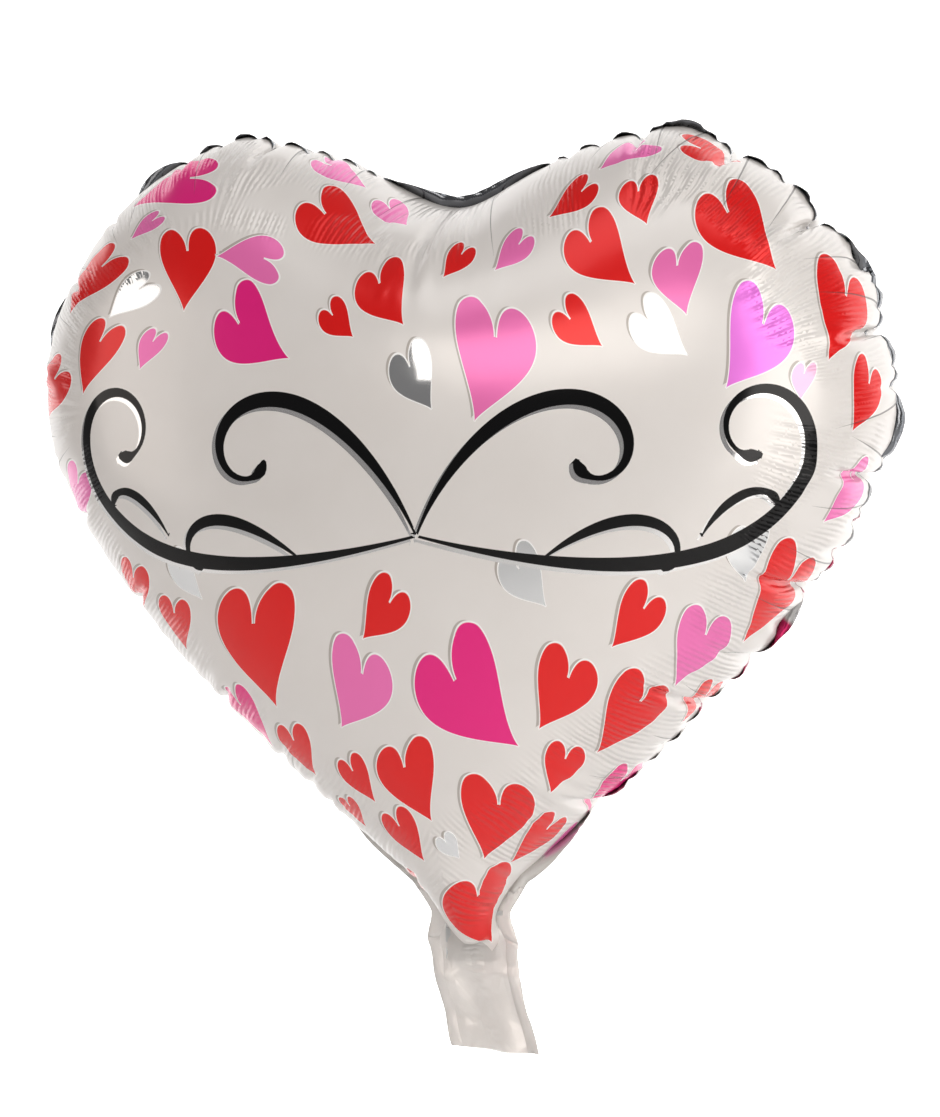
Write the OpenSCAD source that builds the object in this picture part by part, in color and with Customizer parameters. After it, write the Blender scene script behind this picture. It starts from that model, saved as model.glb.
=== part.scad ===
// Heart-shaped foil balloon, inflated, with its filling neck and self-sealing valve.
// Millimetres. The front faces -Y, the lobes point up +Z, and the origin is the point at the
// top of the neck where a ribbon is tied. Films are drawn film_t thick, and really are thinner.

/* [Inflated body] */
// Width between the weld lines, across the lobes
body_w = 367; // [300:1:440]
// Height of the weld line at the top of the lobes
body_h = 329; // [300:1:400]
// Depth of the cleft between the lobes
cleft_h = 25; // [10:1:50]
// Depth through the body, front film to back film
body_d = 196; // [140:2:220]
// Height at which the body is widest
side_z = 223; // [190:1:250]

/* [Films and seals] */
// Drawn thickness of one film
film_t = 0.6; // [0.4:0.1:0.7]
// Width of the heat-sealed rim
seal_w = 5; // [4:0.5:8]
// Length of one pucker of the rim
pucker_pitch = 15; // [10:1:30]
// How far the rim is drawn in between two puckers
pucker_depth = 1.5; // [0:0.1:2.5]

/* [Neck and tail] */
// Width of the neck between its side seals
neck_w = 28; // [26:1:40]
// Height of the bend where the neck leaves the body
neck_bend_z = -1.5; // [-3:0.5:-1.5]
// Height of the crease across the tail
tail_fold_z = -22; // [-28:1:-18]
// Height of the tail's lower edge
tail_end_z = -58; // [-80:1:-45]

/* [Valve] */
// Width of the two valve films
valve_w = 22; // [16:1:22]
// Length of the valve films inside the body
valve_len = 72; // [40:2:100]
// Height of the line where the valve films flex
valve_hinge_z = 4; // [3.5:0.5:6]
// Drawn thickness of the bond between a valve film and the neck
bond_t = 0.3; // [0.2:0.1:0.4]
// Height of that bond
bond_h = 6; // [3:1:8]

/* [Hidden] */

// Points along each curve of the outline, and rings from the centre to the rim
curve_steps = 13;
rings = 10;
// The dome: the height of its deepest point, the power of its section, the depth that is left
// at the neck, and the height where the body reaches its full depth
centre = [0, 205];
dome_power = 2.3;
neck_depth = 0.65;
full_depth_z = 130;
// How far the bent films stay from a bend's axis, below it and above it
fold_below = 1.6;
fold_above = 2;
// Half of the gap between the valve films, and the flat middle of the neck films
valve_gap = 0.1;
flat_w = neck_w - 4;

// Half of the weld line, from the cleft to the neck, as Bezier curves of [x, z]
half_w = body_w / 2;
half_neck = neck_w / 2;
cleft_z = body_h - cleft_h;
right_curves = [
    [[0, cleft_z], [23, cleft_z + 2], [43, body_h], [82, body_h]],
    [[82, body_h], [136, body_h], [half_w, side_z + 59], [half_w, side_z]],
    [[half_w, side_z], [half_w, side_z - 52], [124, 103], [33, 21]],
    [[33, 21], [25, 14], [half_neck, 8], [half_neck, 0]],
];

function bezier(c, t) =
    c[0] * pow(1 - t, 3) + c[1] * 3 * t * pow(1 - t, 2)
    + c[2] * 3 * t * t * (1 - t) + c[3] * t * t * t;
function mirrored(p) = [-p.x, p.y];

right_side = concat(
    [for (c = right_curves, i = [0 : curve_steps - 1]) bezier(c, i / curve_steps)],
    [[half_neck, 0]]
);
last = len(right_side) - 1;
neck_steps = 6;
neck_line = [for (i = [1 : neck_steps - 1]) [half_neck - i * neck_w / neck_steps, 0]];
weld_line = concat(
    right_side, neck_line,
    [for (i = [last : -1 : 1]) mirrored(right_side[i])]
);
count = len(weld_line);

// Distance along the right side, which places the puckers
function run(i) = i == 0 ? 0 : run(i - 1) + norm(right_side[i] - right_side[i - 1]);

// The rim's cut edge: seal_w outside the weld line, and drawn in between two puckers
function edge_point(i) =
    let (
        before = i == 0 ? mirrored(right_side[1]) : right_side[i - 1],
        after = i == last ? right_side[i] - [0, 1] : right_side[i + 1],
        along = (after - before) / norm(after - before),
        pinch = pow(cos(180 * run(i) / pucker_pitch), 4)
    )
    right_side[i] + [-along.y, along.x] * (seal_w - pucker_depth * pinch);

// Depth of a film at p, which lies at the share s of the way from the centre to the weld line
function deepening(z) = neck_depth + (1 - neck_depth) * sin(90 * min(1, z / full_depth_z));
function dome(p, s) = (body_d - film_t) / 2 * sqrt(1 - pow(s, dome_power)) * deepening(p.y);

// One ring of a panel's surface, set inwards by inset
function panel_ring(s, inset) = [
    for (w = weld_line)
        let (
            out = centre + (w - centre) * s,
            p = centre + (w - centre) * s * (1 - inset / norm(w - centre))
        )
        [p.x, -film_t / 2 - max(0, dome(out, s) - inset), p.y]
];

// Two triangles for each step along the rings that start at points a and b
function band(a, b) = [
    for (i = [0 : count - 1], upper = [true, false])
        let (j = (i + 1) % count)
        upper ? [a + i, b + j, b + i] : [a + i, a + j, b + j]
];
function fan(tip, a) = [for (i = [0 : count - 1]) [tip, a + i, a + (i + 1) % count]];
function turned(faces) = [for (f = faces) [f[0], f[2], f[1]]];

// A domed film: an outer and an inner surface, joined by a flat edge at the weld line
module panel() {
    shares = [for (j = [1 : rings]) sin(90 * j / rings)];
    peak = film_t / 2 + dome(centre, 0);
    outer = [for (s = shares) each panel_ring(s, 0)];
    inner = [for (s = shares) each panel_ring(s, film_t)];
    m = len(outer) + 1;
    points = concat(
        [[0, -peak, centre.y]], outer,
        [[0, film_t - peak, centre.y]], inner
    );
    outer_faces = concat(
        fan(0, 1),
        [for (j = [0 : rings - 2]) each turned(band(1 + j * count, 1 + (j + 1) * count))]
    );
    inner_faces = [for (f = outer_faces) [f[0] + m, f[2] + m, f[1] + m]];
    rim = 1 + (rings - 1) * count;
    polyhedron(points, concat(outer_faces, inner_faces, turned(band(rim, rim + m))));
}

// A flat strip across the neck, between two depths and two heights
module strip(width, y, z) {
    translate([-width / 2, y[0], z[0]])
        cube([width, y[1] - y[0], z[1] - z[0]]);
}

// A rounded crease along X
module crease(length, radius) {
    rotate([0, 90, 0])
        cylinder(h = length, r = radius, center = true, $fn = 32);
}

// The front film of the neck: flat in the middle, and brought together at both side seals
module neck_film(z) {
    proud = valve_gap + film_t + bond_t;
    translate([0, 0, z[0]])
        linear_extrude(z[1] - z[0])
        polygon([
            [-half_neck, 0],
            [-half_neck, -film_t],
            [-flat_w / 2, -proud - film_t],
            [flat_w / 2, -proud - film_t],
            [half_neck, -film_t],
            [half_neck, 0],
            [flat_w / 2, -proud],
            [-flat_w / 2, -proud],
        ]);
}

// A side seal, both films fused, hanging from a crease at the top
module side_seal(side, axis_z, bottom_z) {
    translate([side * (half_neck + seal_w / 2), 0, 0]) {
        strip(seal_w, [-film_t, film_t], [bottom_z, axis_z]);
        translate([0, 0, axis_z])
            crease(seal_w, film_t);
    }
}

// A valve film inside the body, with the crease that it flexes on
module valve_film() {
    middle = -valve_gap - film_t / 2;
    translate([0, middle, valve_hinge_z]) {
        strip(valve_w, [-film_t / 2, film_t / 2], [0, valve_len]);
        crease(valve_w, film_t / 2);
    }
}

neck_z = [tail_fold_z + fold_above, neck_bend_z - fold_below];
tail_z = [tail_end_z, tail_fold_z - fold_below];
inlet_y = [-valve_gap - film_t, -valve_gap];
bond_y = [inlet_y[0] - bond_t, inlet_y[0]];
bond_z = [neck_z[1] - 3 - bond_h, neck_z[1] - 3];

module front_panel() {
    color("whitesmoke") panel();
}

module back_panel() {
    color("gainsboro") mirror([0, 1, 0]) panel();
}

// Both films fused all round the body
module rim_seal() {
    color("silver")
        for (side = [0, 1])
            mirror([side, 0, 0])
            rotate([90, 0, 0])
            linear_extrude(film_t, center = true)
            polygon(concat(
                [for (i = [0 : last]) edge_point(i)],
                [for (i = [last : -1 : 0]) right_side[i]]
            ));
}

// The two valve films held flat where they pass between the panels
module valve_throat() {
    color("lightgray") strip(neck_w, [-film_t / 2, film_t / 2], [0, film_t + 1.4]);
}

module valve_front_film() {
    color("aliceblue") valve_film();
}

module valve_back_film() {
    color("aliceblue") mirror([0, 1, 0]) valve_film();
}

module neck_front_film() {
    color("gainsboro") neck_film(neck_z);
}

module neck_back_film() {
    color("gainsboro") mirror([0, 1, 0]) neck_film(neck_z);
}

module neck_left_seal() {
    color("silver") side_seal(-1, neck_bend_z, neck_z[0]);
}

module neck_right_seal() {
    color("silver") side_seal(1, neck_bend_z, neck_z[0]);
}

// The valve films run down through the neck, each bonded to the film next to it
module inlet_front_film() {
    color("aliceblue") strip(valve_w, inlet_y, neck_z);
}

module inlet_back_film() {
    color("aliceblue") mirror([0, 1, 0]) strip(valve_w, inlet_y, neck_z);
}

module inlet_front_bond() {
    color("lightgray") strip(valve_w, bond_y, bond_z);
}

module inlet_back_bond() {
    color("lightgray") mirror([0, 1, 0]) strip(valve_w, bond_y, bond_z);
}

module tail_front_film() {
    color("gainsboro") neck_film(tail_z);
}

module tail_back_film() {
    color("gainsboro") mirror([0, 1, 0]) neck_film(tail_z);
}

module tail_left_seal() {
    color("silver") side_seal(-1, tail_fold_z, tail_end_z);
}

module tail_right_seal() {
    color("silver") side_seal(1, tail_fold_z, tail_end_z);
}

front_panel();
back_panel();
rim_seal();
valve_throat();
valve_front_film();
valve_back_film();
neck_front_film();
neck_back_film();
neck_left_seal();
neck_right_seal();
inlet_front_film();
inlet_back_film();
inlet_front_bond();
inlet_back_bond();
tail_front_film();
tail_back_film();
tail_left_seal();
tail_right_seal();
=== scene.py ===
import math
import time

import bpy
import numpy as np
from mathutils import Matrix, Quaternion, Vector
from mathutils.geometry import delaunay_2d_cdt


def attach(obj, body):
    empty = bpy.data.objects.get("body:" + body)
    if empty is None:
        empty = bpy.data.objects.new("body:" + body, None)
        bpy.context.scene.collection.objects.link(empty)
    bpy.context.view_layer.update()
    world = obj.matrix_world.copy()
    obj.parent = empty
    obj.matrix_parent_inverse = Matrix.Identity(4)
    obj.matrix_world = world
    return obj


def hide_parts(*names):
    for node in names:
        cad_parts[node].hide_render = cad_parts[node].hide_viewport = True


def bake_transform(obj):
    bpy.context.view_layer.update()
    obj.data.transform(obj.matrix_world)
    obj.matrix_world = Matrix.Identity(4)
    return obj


# Heart-shaped foil balloon. Two films are cut flat, sealed at a rim and blown up by a small
# solver of springs and gas pressure, so the puckers are the ones that the cut gives.
# The cut is in millimetres (across, up); everything that Blender gets is in metres.

startTime = time.time()
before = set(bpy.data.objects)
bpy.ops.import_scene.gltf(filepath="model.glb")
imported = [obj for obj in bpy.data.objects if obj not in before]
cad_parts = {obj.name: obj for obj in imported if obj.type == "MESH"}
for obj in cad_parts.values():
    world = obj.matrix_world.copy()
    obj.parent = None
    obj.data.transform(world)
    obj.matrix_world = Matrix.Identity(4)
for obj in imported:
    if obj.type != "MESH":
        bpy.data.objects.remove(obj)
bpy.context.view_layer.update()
mm = 0.001


def report(stage):
    print(f"{time.time() - startTime:6.1f} s  {stage}")


cameraSetup = {
    "azimuth": 16,         # degrees to the balloon's +X side
    "elevation": 4.5,
    "distance": 1.57,
    "aim": 0.152,          # height of the point in the middle of the picture
    "aimRight": 0.002,
    "pictureHeight": 0.472,
    "roll": -0.9,          # the balloon hangs a little askew
}


def makeCamera():
    c = cameraSetup
    azimuth, elevation = math.radians(c["azimuth"]), math.radians(c["elevation"])
    away = Vector((
        math.sin(azimuth) * math.cos(elevation),
        -math.cos(azimuth) * math.cos(elevation),
        math.sin(elevation),
    ))
    right = Vector((math.cos(azimuth), math.sin(azimuth), 0))
    data = bpy.data.cameras.new("camera")
    data.sensor_fit = "VERTICAL"
    data.lens = data.sensor_height * c["distance"] / c["pictureHeight"]
    camera = bpy.data.objects.new("camera", data)
    bpy.context.collection.objects.link(camera)
    camera.location = Vector((0, 0, c["aim"])) + right * c["aimRight"] + away * c["distance"]
    roll = Quaternion((0, 0, 1), math.radians(c["roll"]))
    camera.rotation_euler = (away.to_track_quat("Z", "Y") @ roll).to_euler()
    bpy.context.scene.camera = camera


makeCamera()

heartCut = {
    # right half of the weld line as Bezier curves, from the cleft to the neck
    "rightCurves": [
        [(0, 389), (15, 389), (45, 401), (93, 401)],
        [(93, 401), (154, 401), (223.5, 332), (223.5, 252)],
        [(223.5, 252), (223.5, 190), (161, 84), (35, 14)],
        [(35, 14), (26, 7), (14, 2), (14, -12)],
    ],
    "neckHalfWidth": 14,
    "tailEnd": -52,
    "rimWidth": 5,
    "bend": 6,             # place on the cut that lies at the neck's bend, at height 0
    "panelEnd": 9,         # the body's films end here, just above the bend
    "tailTop": -5,         # and the tail's films start here, between the bend and the crease
    "shake": 0.12,         # of the grid's points, as a share of their spacing
    "clearance": 0.62,     # of the grid's points from the outline, likewise
}


def bezier(points, count):
    # a cubic curve: each control point weighted by its Bernstein polynomial
    t = np.linspace(0, 1, count)[:, None]
    a, b, c, d = np.array(points, float)
    return (1 - t) ** 3 * a + 3 * t * (1 - t) ** 2 * b + 3 * t * t * (1 - t) * c + t ** 3 * d


def evenSteps(path, spacing):
    # points at equal distances along a path
    run = np.r_[0, np.cumsum(np.linalg.norm(np.diff(path, axis=0), axis=1))]
    places = np.linspace(0, run[-1], max(2, int(round(run[-1] / spacing)) + 1))
    return np.c_[np.interp(places, run, path[:, 0]), np.interp(places, run, path[:, 1])]


def isInside(points, loop):
    # a point is inside where a line from it to the right crosses the loop an odd number of times
    x, y = points[:, :1], points[:, 1:]
    after = np.roll(loop, -1, 0)
    crosses = (loop[:, 1] > y) != (after[:, 1] > y)
    rise = np.where(after[:, 1] == loop[:, 1], 1e-9, after[:, 1] - loop[:, 1])
    at = (after[:, 0] - loop[:, 0]) * (y - loop[:, 1]) / rise + loop[:, 0]
    return (crosses & (x < at)).sum(axis=1) % 2 == 1


def makeCut(spacing):
    # a flat mesh of both films, which share their weld line, and of the rim outside it
    c = heartCut
    half = np.vstack([bezier(p, 300)[:-1] for p in c["rightCurves"]] + [[c["rightCurves"][-1][-1]]])
    neck = np.array([c["rightCurves"][-1][-1], (c["neckHalfWidth"], c["tailEnd"])], float)
    right = np.vstack([evenSteps(half, spacing), evenSteps(neck, spacing)[1:]])
    left = right[1:][::-1] * [-1, 1]
    weld = np.vstack([right, left])
    mouthSteps = max(2, int(round(2 * c["neckHalfWidth"] / spacing)))
    mouth = np.linspace(c["neckHalfWidth"], -c["neckHalfWidth"], mouthSteps + 1)[1:-1]
    loop = np.vstack([right, np.c_[mouth, np.full(len(mouth), c["tailEnd"])], left])

    # a hexagonal grid inside the outline, slightly shaken so that no row of edges is preferred
    rows = np.arange(c["tailEnd"], 410, spacing * math.sqrt(3) / 2)
    x, z = np.meshgrid(np.arange(-230, 230, spacing), rows)
    x = x + (np.arange(len(rows)) % 2)[:, None] * spacing / 2
    grid = np.c_[x.ravel(), z.ravel()]
    grid += np.random.default_rng(4).uniform(-c["shake"], c["shake"], grid.shape) * spacing
    grid = grid[isInside(grid, loop)]
    gap = np.sqrt(((grid[:, None] - loop[None]) ** 2).sum(2)).min(1)
    points = np.vstack([loop, grid[gap > c["clearance"] * spacing]])
    count = len(loop)
    sides = [(i, (i + 1) % count) for i in range(count)]
    result = delaunay_2d_cdt([Vector(p) for p in points], sides, [], 1, 1e-7, True)
    faces = np.array([source[0] for source in result[3]])[np.array(result[2])]
    faces = faces[isInside(points[faces].mean(1), loop)]
    one, two = points[faces[:, 1]] - points[faces[:, 0]], points[faces[:, 2]] - points[faces[:, 0]]
    turn = one[:, 0] * two[:, 1] - one[:, 1] * two[:, 0]
    faces, turn = faces[np.abs(turn) > 1e-6], turn[np.abs(turn) > 1e-6]
    faces[turn < 0] = faces[turn < 0][:, ::-1]

    # the back film has its own points, except along the weld line
    welded = np.r_[np.arange(len(right)), np.arange(count - len(left), count)]
    own = np.setdiff1d(np.arange(len(points)), welded)
    toBack = np.arange(len(points))
    toBack[own] = len(points) + np.arange(len(own))
    side = np.zeros(len(points) + len(own))
    side[own], side[len(points):] = -1, 1
    flat = np.vstack([points, points[own]])

    # the rim lies outside the weld line, and is open across the mouth
    along = np.roll(weld, -1, 0) - np.roll(weld, 1, 0)
    along[[len(right) - 1, len(right)]] = (0, -1), (0, 1)
    along /= np.linalg.norm(along, axis=1)[:, None]
    outer = len(flat) + np.arange(len(weld))
    flat = np.vstack([flat, weld + np.c_[-along[:, 1], along[:, 0]] * c["rimWidth"]])
    first = np.setdiff1d(np.arange(len(weld)), [len(right) - 1])
    after = (first + 1) % len(weld)
    rim = np.vstack([
        np.c_[welded[first], welded[after], outer[after]],
        np.c_[welded[first], outer[after], outer[first]],
    ])
    return {
        "flat": flat,
        "side": np.r_[side, np.zeros(len(weld))],
        "faces": np.vstack([faces, toBack[faces][:, ::-1], rim]),
        "part": np.repeat([0, 1, 2], [len(faces), len(faces), len(rim)]),
        "weld": weld,
        "rightCount": len(right),
    }


def splitFaces(cut, shape):
    # each triangle becomes four, cut at the middles of its sides
    pairs, index = edgesOf(cut["faces"])
    middle = len(cut["flat"]) + index
    (a, b, c), (ab, bc, ca) = cut["faces"].T, middle.T
    faces = np.vstack([np.c_[a, ab, ca], np.c_[ab, b, bc], np.c_[ca, bc, c], np.c_[ab, bc, ca]])

    def withMiddles(values):
        return np.concatenate([values, (values[pairs[:, 0]] + values[pairs[:, 1]]) / 2])

    finer = dict(cut, flat=withMiddles(cut["flat"]), side=withMiddles(cut["side"]),
                 faces=faces, part=np.tile(cut["part"], 4))
    return finer, withMiddles(shape)


def edgesOf(faces):
    pairs = np.sort(np.vstack([faces[:, [0, 1]], faces[:, [1, 2]], faces[:, [2, 0]]]), axis=1)
    unique, index = np.unique(pairs, axis=0, return_inverse=True)
    return unique, index.reshape(3, -1).T


def facingCorners(faces, part):
    # the two corners that face each other across every inner edge of one film
    edge = np.sort(np.vstack([faces[:, [0, 1]], faces[:, [1, 2]], faces[:, [2, 0]]]), axis=1)
    corner = np.r_[faces[:, 2], faces[:, 0], faces[:, 1]]
    key = (edge[:, 0] * (faces.max() + 1) + edge[:, 1]) * 4 + np.tile(part, 3)
    order = np.argsort(key, kind="stable")
    key, corner = key[order], corner[order]
    same = key[1:] == key[:-1]
    return np.c_[corner[:-1][same], corner[1:][same]]


inflation = {
    "spacing": 4.0,          # side of a triangle while it inflates, halved once afterwards
    "steps": 3300,
    "fineSteps": 650,
    "pressure": 1.7e-4,      # against a film stiffness of 1, per mm of spacing
    "squeeze": 0.03,         # share of its stiffness that the film keeps when squeezed
    "bending": 0.01,
    "rimSqueeze": 0.3,       # the rim is two films thick and keeps more
    "rimBending": 0.04,
    "step": 0.45,
    "drag": 0.997,
    "freeSteps": 400,        # steps before it is stilled each time that it swings back
    "neckClosed": -4,        # no gas below this height on the cut, full pressure this far above
    "neckOpens": 12,
    "puckerPitch": 15,       # the rim starts with waves of this length and height
    "puckerHeight": 1.2,
    "puckerFade": 10,        # and they fade over this distance inside it
    "puckersFrom": 20,       # none below this height, all of them this far above it
    "startSlope": 0.15,      # the films start this far apart, and no further than two spacings
    "startNoise": 0.02,      # shares of the spacing
    "fineNoise": 0.01,
}


def relax(cut, shape, spacing, steps, freeSteps):
    # springs along the edges and across them, gas pressure on each face, and friction
    s = inflation
    flat, faces, part = cut["flat"] / spacing, cut["faces"], cut["part"]
    edges, across = edgesOf(faces)[0], facingCorners(faces, part)
    onRim = np.zeros(len(flat), bool)
    onRim[faces[part == 2]] = True
    first, second = np.vstack([edges, across]).T
    length = np.linalg.norm(flat[first] - flat[second], axis=1)
    isEdge = np.arange(len(first)) < len(edges)
    bothRim = onRim[first] & onRim[second]
    pull = isEdge.astype(float)
    push = np.where(
        isEdge,
        np.where(bothRim, s["rimSqueeze"], s["squeeze"]),
        np.where(bothRim, s["rimBending"], s["bending"]),
    )
    films = faces[part < 2]
    share = np.clip((cut["flat"][:, 1] - s["neckClosed"]) / s["neckOpens"], 0, 1)
    load = share[films].mean(1)[:, None] * s["pressure"] * spacing / 6
    corners = films.T.ravel()
    count = len(flat)
    shape, speed, swing = shape / spacing, np.zeros((count, 3)), 0

    for number in range(steps):
        way = shape[second] - shape[first]
        now = np.sqrt(np.einsum("ij,ij->i", way, way))
        strain = now / length - 1
        way *= (np.where(strain > 0, pull, push) * strain / now)[:, None]
        force = np.stack([
            np.bincount(first, way[:, k], count) - np.bincount(second, way[:, k], count)
            for k in range(3)
        ], 1)
        if number % 4 == 0:
            a, b, c = (shape[films[:, k]] for k in range(3))
            gas = np.tile(np.cross(b - a, c - a) * load, (3, 1))
            gas = np.stack([np.bincount(corners, gas[:, k], count) for k in range(3)], 1)
        speed = (speed + s["step"] * (force + gas)) * s["drag"]
        energy = (speed * speed).sum()
        if energy < swing and number > freeSteps:
            speed *= 0
            energy = 0
        swing = energy
        shape = shape + s["step"] * speed
    return shape * spacing


def nearestWeld(cut, points, chunk=20000):
    # for each point, the number of the nearest place on the weld line
    found = [
        ((points[i:i + chunk, None] - cut["weld"][None]) ** 2).sum(2).argmin(1)
        for i in range(0, len(points), chunk)
    ]
    return np.concatenate(found)


def inflate():
    s = inflation
    cut = makeCut(s["spacing"])
    report(f"cut: {len(cut['faces'])} faces")
    flat, weld, side = cut["flat"], cut["weld"], cut["side"]
    near = nearestWeld(cut, flat)
    depth = np.linalg.norm(flat - weld[near], axis=1)
    random = np.random.default_rng(5)

    # waves of uneven length along each half of the rim, which fade inside it
    right = weld[:cut["rightCount"]]
    run = np.r_[0, np.cumsum(np.linalg.norm(np.diff(right, axis=0), axis=1))]
    waves = []
    for _ in range(2):
        ends = np.cumsum(random.uniform(0.75, 1.3, int(run[-1] / s["puckerPitch"] * 1.4)))
        waves.append(np.sin(2 * np.pi * np.interp(
            run, np.r_[0, ends * s["puckerPitch"]], np.arange(len(ends) + 1))))
    wave = np.r_[waves[0], waves[1][1:][::-1]] * s["puckerHeight"]
    aboveNeck = np.clip((flat[:, 1] - s["puckersFrom"]) / s["puckersFrom"], 0, 1)

    shape = np.zeros((len(flat), 3))
    shape[:, [0, 2]] = flat
    slope, spacing = s["startSlope"], s["spacing"]
    shape[:, 1] = side * (slope * spacing + np.minimum(slope * depth, 2 * spacing))
    shape[:, 1] += random.normal(0, s["startNoise"] * spacing, len(flat))
    shape[:, 1] += wave[near] * np.exp(-depth / s["puckerFade"]) * aboveNeck
    shape = relax(cut, shape, s["spacing"], s["steps"], s["freeSteps"])
    report("inflated")
    cut, shape = splitFaces(cut, shape)
    shape += random.normal(0, s["fineNoise"] * spacing, shape.shape)
    shape = relax(cut, shape, s["spacing"] / 2, s["fineSteps"], 0)
    report(f"inflated finely: {len(cut['faces'])} faces")

    # the neck's bend comes to the origin, and the weld line to the middle plane
    flat = cut["flat"]
    isWeld = np.unique(cut["faces"][cut["part"] == 2])
    isWeld = isWeld[np.isin(isWeld, np.unique(cut["faces"][cut["part"] == 0]))]
    bend = [
        isWeld[np.hypot(flat[isWeld, 0] - x, flat[isWeld, 1] - heartCut["bend"]).argmin()]
        for x in (-heartCut["neckHalfWidth"], heartCut["neckHalfWidth"])
    ]
    shape[:, [0, 2]] -= shape[bend][:, [0, 2]].mean(0)
    shape[:, 1] -= shape[isWeld, 1].mean()
    return cut, shape


tailShape = {
    "starts": 2,             # on the cut: the gas has pressed the films flat below this
    "blend": 9,
    "lean": 10,              # how far the tail's end has swung to +X
    "slant": 0.08,
    "neckGap": 1.7,         # from the middle plane to each film, where the valve runs
    "tailGap": 0.9,
    "creaseDepth": 1.4,      # of the crease across the tail
    "crumples": 7,
    "facet": (10, 30),       # length of the crumples' waves
    "slope": 0.2,            # of their sides
    "filmCrumple": 0.3,
    "crumpleFrom": (19, 10), # the crumples start this far down, and are whole this much further
    "leastCrumple": 0.05,
    "crease": (25, 5),       # how far down the crease lies, and half of its width
    "neckEnds": (28, 8),     # the films close up above this, over this distance
    "roundness": (0.6, 0.15),# power of the section, and how much less it is in the neck
    "neckCalm": 0.9,         # share of a film's own crumples that the neck loses
    "leanPower": 1.7,
}


def crumple(x, z, seed, count):
    # a sum of triangle waves in scattered directions: flat facets that meet in sharp creases
    random = np.random.default_rng(seed)
    angle = random.uniform(0, np.pi, count)
    length = random.uniform(*tailShape["facet"], count)
    slope = random.uniform(0.5, 1, count) * tailShape["slope"]
    phase = (np.cos(angle) * x[:, None] + np.sin(angle) * z[:, None]) / length
    wave = np.abs((phase + random.uniform(0, 1, count)) % 1 - 0.5) - 0.25
    return (wave * length * slope).sum(1)


def shapeTail(cut, shape):
    # flat film below the bend: two crumpled sheets that close at the side seals
    t = tailShape
    flat, side = cut["flat"], cut["side"]
    part = np.flatnonzero(flat[:, 1] < t["starts"])
    x, z = flat[part, 0], flat[part, 1] - heartCut["bend"]
    share = np.clip((t["starts"] - flat[part, 1]) / t["blend"], 0, 1)
    share = share * share * (3 - 2 * share)
    down = np.clip(z / (heartCut["tailEnd"] - heartCut["bend"]), 0, 1)
    inNeck = np.clip((z + t["neckEnds"][0]) / t["neckEnds"][1], 0, 1)
    power, less = t["roundness"]
    across = np.clip(1 - (x / heartCut["neckHalfWidth"]) ** 2, 0, 1) ** (power - less * inNeck)
    gap = (t["tailGap"] + (t["neckGap"] - t["tailGap"]) * inNeck) * across
    start, ramp = t["crumpleFrom"]
    both = crumple(x, z, 11, t["crumples"])
    both *= np.clip((-z - start) / ramp, t["leastCrumple"], 1)
    place, half = t["crease"]
    crease = t["creaseDepth"] * np.maximum(1 - np.abs(z + place) / half, 0)
    y = both - crease + side[part] * gap
    for film, seed in ((-1, 12), (1, 13)):
        own = side[part] * film > 0.25
        loose = t["filmCrumple"] * gap * (1 - t["neckCalm"] * inNeck)
        y[own] += crumple(x, z, seed, t["crumples"])[own] * loose[own]
    settled = np.c_[
        x + t["lean"] * down ** t["leanPower"],
        y,
        z - t["slant"] * x * down,
    ]
    shape[part] = shape[part] * (1 - share[:, None]) + settled * share[:, None]
    return shape


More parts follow.
